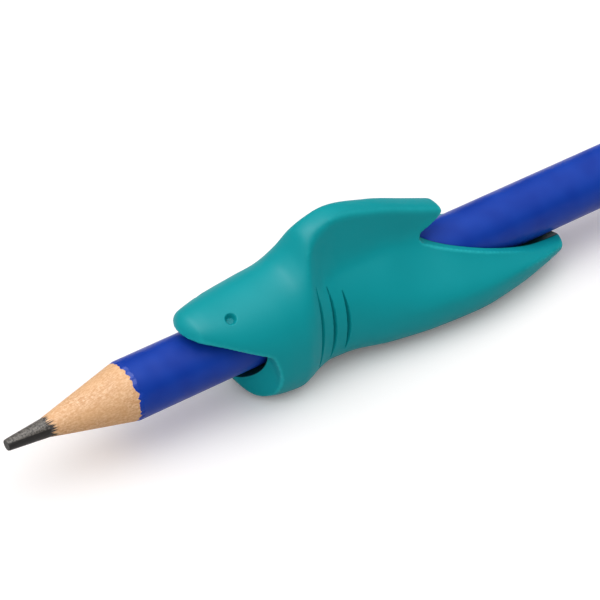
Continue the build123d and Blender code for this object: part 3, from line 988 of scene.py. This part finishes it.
x, y, z = add(tree, "ShaderNodeSeparateXYZ", {0: drawn}).outputs
across = add(tree, "ShaderNodeCombineXYZ", {1: y, 2: z})
heading = add(tree, "ShaderNodeVectorMath", {0: across}, operation="NORMALIZE")
streaks, hairs = (
    add(tree, "ShaderNodeTexNoise", {
        "Vector": heading, "Scale": lead_radius / width, "Detail": 2.0,
    }).outputs["Fac"]
    for width in (SMEAR_WIDTH, HAIR_WIDTH)
)
upright = add(tree, "ShaderNodeSeparateXYZ", {0: heading}).outputs["Z"]
from_lead = add(tree, "ShaderNodeMath", {0: x, 1: bared_x}, operation="SUBTRACT")
from_lead = add(tree, "ShaderNodeMath", {0: upright, 1: CUT_LEAN, 2: from_lead}, operation="MULTIPLY_ADD")
ragged = add(tree, "ShaderNodeMath", {0: streaks, 1: hairs}, operation="MULTIPLY")
reach = add(tree, "ShaderNodeMapRange", {
    "Value": ragged, "From Min": 0.16, "From Max": 0.42, "To Min": SMEAR_SHORTEST, "To Max": SMEAR_LENGTH,
})
bare = add(tree, "ShaderNodeMath", {0: from_lead, 1: reach}, operation="SUBTRACT")
clean = add(tree, "ShaderNodeMapRange", {
    "Value": bare, "From Min": SMEAR_FADE[0], "From Max": SMEAR_FADE[1],
})
wood_tint = add(tree, "ShaderNodeMix", {
    "Factor": clean, "A": colour("#2A2725"), "B": wood_tint,
}, data_type="RGBA")
fill(tree, shader, {"Base Color": wood_tint, "Roughness": dry, "Normal": ridges})
print(cedar.name, len(tree.nodes), "nodes")

# %% [markdown]
# ## Sharpened graphite
# A lead is baked clay and graphite: near black where it was cut, with a dull slide of light along the blade's
# scores, and paler and speckled on its upper side. Its grains are a few hundredths of a
# millimetre, drawn about ten times coarser so that they show. The upper side is told from the rest by its
# height.

# %% Graphite finish
SCORES_PER_MM = (0.8, 9.0, 9.0)
SCORE_DEPTH = 0.05
SPECK = 0.25
UPPER_FROM = 0.5
UPPER_EDGE = 0.12

graphite, tree, shader = finish_of("sharpened_graphite")
drawn = drawing_space(tree)
dragged = add(tree, "ShaderNodeVectorMath", {0: drawn, 1: SCORES_PER_MM}, operation="MULTIPLY")
scores = add(tree, "ShaderNodeTexNoise", {
    "Vector": dragged, "Scale": 1.0, "Detail": 3.0, "Roughness": 0.6,
}).outputs["Fac"]
specks = add(tree, "ShaderNodeTexNoise", {
    "Vector": drawn, "Scale": 1 / SPECK, "Detail": 3.0, "Roughness": 0.7,
}).outputs["Fac"]
grey = add(tree, "ShaderNodeMix", {
    "Factor": scores, "A": colour("#141312"), "B": colour("#2F2C2A"),
}, data_type="RGBA")
# Above a set height, the bared lead is mixed to a paler, speckled grey.
upper_tone = add(tree, "ShaderNodeMapRange", {"Value": specks, "From Min": 0.35, "From Max": 0.65})
upper_tone = add(tree, "ShaderNodeMix", {
    "Factor": upper_tone, "A": colour("#2A2725"), "B": colour("#7E7871"),
}, data_type="RGBA")
axes = add(tree, "ShaderNodeSeparateXYZ", {0: drawn}).outputs
bared = add(tree, "ShaderNodeMath", {0: axes["X"], 1: painted_x}, operation="LESS_THAN")
upper_side = add(tree, "ShaderNodeMapRange", {
    "Value": axes["Z"], "From Min": UPPER_FROM, "From Max": UPPER_FROM + UPPER_EDGE, "To Max": bared,
})
grey = add(tree, "ShaderNodeMix", {"Factor": upper_side, "A": grey, "B": upper_tone}, data_type="RGBA")
slide = add(tree, "ShaderNodeMapRange", {"Value": scores, "To Min": 0.55, "To Max": 0.38})
grooves = add(tree, "ShaderNodeBump", {"Height": scores, "Strength": 0.5, "Distance": SCORE_DEPTH * MM})
fill(tree, shader, {"Base Color": grey, "Roughness": slide, "Normal": grooves, "Specular IOR Level": 0.25})
print("finish", graphite.name)

# %% [markdown]
# ## Dipped lacquer
# The blue is a few dipped coats of lacquer, satin, with the slow waves that a dipped coat dries with. One
# noise does for all of it: the coat is a little paler, duller and higher on a wave's back than in its hollow.

# %% Lacquer finish
DIP_WAVE = 3.5
DIP_DEPTH = 0.22

lacquer, tree, shader = finish_of("dipped_lacquer")
waves = add(tree, "ShaderNodeTexNoise", {
    "Vector": drawing_space(tree), "Scale": 1 / DIP_WAVE, "Detail": 1.0, "Roughness": 0.4,
}).outputs["Fac"]
coat = add(tree, "ShaderNodeMix", {
    "Factor": waves, "A": colour("#0C329A"), "B": colour("#194ABA"),
}, data_type="RGBA")
satin = add(tree, "ShaderNodeMapRange", {"Value": waves, "To Min": 0.28, "To Max": 0.42})
ripple = add(tree, "ShaderNodeBump", {"Height": waves, "Strength": 0.9, "Distance": DIP_DEPTH * MM})
fill(tree, shader, {"Base Color": coat, "Roughness": satin, "Normal": ripple, "Specular IOR Level": 0.12})
print("finish", lacquer.name)

# %% [markdown]
# ## The pencil's four pieces
# The lead, the two slats and the coat are the same ring with other sizes, so one tree grows all four. The
# sizes are read off the CAD nodes, not typed again: the pieces then meet where the solids do. Each piece says
# which node it stands in for and which body carries it when the pencil slides.

# %% The pencil's four pieces
POINT_RADIUS = 0.675
POINT_SMOOTHING = 0.7
LEAD_COLUMNS = 99
SLAT_COLUMNS = 123
COAT_COLUMNS = 243
lead_slope = (lead_radius - POINT_RADIUS) / (bared_x - point_x)


def ring_piece(name, node, slot_name, finish, **sizes):
    """One piece of the pencil from the sharpened ring, in the place of its CAD node."""
    obj = new_object(name, [(0, 0, 0)], [])
    grow(obj, ring, finish, End=end_x, Lean=CUT_LEAN, Lean_Radius=lead_radius, **sizes)
    face_outwards(obj.data)
    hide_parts(node)
    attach(obj, "pencil")
    print(name, len(obj.data.polygons), "faces")


ring_piece(
    "graphite_core", "lead", "graphite", graphite, Inner=0.0, Outer=lead_radius, Front=point_x,
    Start=POINT_RADIUS, Slope=lead_slope, Tip=point_x, Tip_Rounding=POINT_SMOOTHING, From=0.0, To=2 * pi,
    Columns=LEAD_COLUMNS,
)
for name, node, start in (("cedar_upper", "casing_upper", -0.5), ("cedar_lower", "casing_lower", 0.5)):
    ring_piece(
        name, node, "cedar", cedar, Inner=lead_radius, Outer=casing_radius, Front=bared_x, Start=lead_radius,
        Slope=cut_slope, Chips=2.0, Chip_Reach=0.4, Seed=1.0, From=start * pi, To=(start + 1) * pi,
        Columns=SLAT_COLUMNS, Split=1.0,
    )
ring_piece(
    "blue_coat", "lacquer", "blue_lacquer", lacquer, Inner=casing_radius, Outer=barrel_radius,
    Front=painted_x, Start=casing_radius, Slope=cut_slope, Chips=2.4, Chip_Reach=0.5, Seed=2.0, From=0.0,
    To=2 * pi, Columns=COAT_COLUMNS,
)

# %% [markdown]
# ## The floor
# A small thing photographed for a catalogue lies on a white sweep of paper. The floor is white to the camera
# and to reflections. To the light that bounces it is a mid grey, because a white floor would fill every
# shaded flank from below. Its faint glow is a little warm, to take back the colour that the teal and the blue
# throw into the shadow.

# %% White sweep
SWEEP_HALF = 3.0
SWEEP_GLOW = 0.1
SWEEP_TINT = (1.0, 0.75, 0.72, 1)
SWEEP_BOUNCE = (0.52, 0.52, 0.52, 1)
SWEEP_WHITE = (0.98, 0.98, 0.98, 1)

floor_mesh = bpy.data.meshes.new("floor")
floor_corners = [(x * SWEEP_HALF, y * SWEEP_HALF, 0) for x, y in ((-1, -1), (1, -1), (1, 1), (-1, 1))]
floor_mesh.from_pydata(floor_corners, [], [(0, 1, 2, 3)])
floor = bpy.data.objects.new("floor", floor_mesh)
bpy.context.scene.collection.objects.link(floor)
paper, tree, shader = finish_of("white_sweep")
rays = add(tree, "ShaderNodeLightPath").outputs
seen = rays["Is Camera Ray"]
for ray in ("Is Glossy Ray", "Is Transmission Ray"):
    seen = add(tree, "ShaderNodeMath", {0: seen, 1: rays[ray]}, operation="MAXIMUM")
glow = add(tree, "ShaderNodeMath", {0: seen, 1: SWEEP_GLOW}, operation="MULTIPLY")
white = add(tree, "ShaderNodeMix", {"Factor": seen, "A": SWEEP_BOUNCE, "B": SWEEP_WHITE}, data_type="RGBA")
fill(tree, shader, {
    "Base Color": white, "Roughness": 1.0, "Specular IOR Level": 0.0,
    "Emission Color": SWEEP_TINT, "Emission Strength": glow,
})
floor.data.materials.append(paper)
print("floor", 2 * SWEEP_HALF, "m square")

# %% [markdown]
# ## Camera and light
# The camera stands off the near side, well up, with a long lens that keeps the pencil's sides nearly
# parallel. The light is a wide, soft overhead one. Here the world itself is that light: it glows round one
# axis, drawn out along the pencil, and fades to almost nothing at the horizon, which keeps a soft shadow
# close under the belly. One softbox is hidden from diffuse rays and only lays the sheen on the head.

# %% Camera
CAMERA_AZIMUTH = radians(36.26)
CAMERA_ELEVATION = radians(38.0)
CAMERA_DISTANCE = 329.7
CAMERA_LENS = 170.9
CAMERA_SENSOR = 36
CAMERA_NEAREST = 10
AIM_X = 17.5
AIM_Z = 1.79

aim = Vector((drawing_x + AIM_X * MM, 0, axis_z + AIM_Z * MM))
level = cos(CAMERA_ELEVATION)
towards = Vector((-sin(CAMERA_AZIMUTH) * level, -cos(CAMERA_AZIMUTH) * level, sin(CAMERA_ELEVATION)))
camera = bpy.data.objects.new("camera", bpy.data.cameras.new("camera"))
camera.data.lens = CAMERA_LENS
camera.data.sensor_width = CAMERA_SENSOR
camera.data.clip_start = CAMERA_NEAREST * MM
camera.location = aim + towards * CAMERA_DISTANCE * MM
camera.rotation_euler = towards.to_track_quat("Z", "Y").to_euler()
bpy.context.scene.collection.objects.link(camera)
bpy.context.scene.camera = camera
print("camera", CAMERA_DISTANCE, "mm away, lens", CAMERA_LENS, "mm")

# %% Light
SKY_AXIS = (-0.3, -0.04, 0.95)
SKY_STRETCH = (0.5, 1.25, 1.0)
SKY_EDGE = 0.2
SKY_LOW = 0.04
SKY_HIGH = 1.78
SOFTBOX_PLACE = Vector((-0.13, -0.01, 0.54))
SOFTBOX_LENGTH = 0.7
SOFTBOX_WIDTH = 0.3
SOFTBOX_WATTS = 9.5

world = bpy.data.worlds.new("studio")
world.use_nodes = True
bpy.context.scene.world = world
tree = world.node_tree
heading = add(tree, "ShaderNodeTexCoord").outputs["Generated"]
drawn_out = add(tree, "ShaderNodeVectorMath", {0: heading, 1: SKY_STRETCH}, operation="MULTIPLY")
drawn_out = add(tree, "ShaderNodeVectorMath", {0: drawn_out}, operation="NORMALIZE")
facing = add(tree, "ShaderNodeVectorMath", {0: drawn_out, 1: SKY_AXIS}, operation="DOT_PRODUCT")
glow = add(tree, "ShaderNodeMapRange", {
    "Value": facing, "From Min": SKY_EDGE, "To Min": SKY_LOW, "To Max": SKY_HIGH,
})
fill(tree, tree.nodes["Background"], {"Color": (1, 1, 1, 1), "Strength": glow})

light = bpy.data.lights.new("softbox", "AREA")
light.shape = "RECTANGLE"
light.size = SOFTBOX_LENGTH
light.size_y = SOFTBOX_WIDTH
light.energy = SOFTBOX_WATTS
softbox = bpy.data.objects.new("softbox", light)
softbox.location = aim + SOFTBOX_PLACE
softbox.rotation_euler = (-SOFTBOX_PLACE).to_track_quat("-Z", "Y").to_euler()
softbox.visible_diffuse = False
bpy.context.scene.collection.objects.link(softbox)
bpy.context.scene.view_settings.view_transform = "Standard"
print("softbox", SOFTBOX_LENGTH, "x", SOFTBOX_WIDTH, "m")
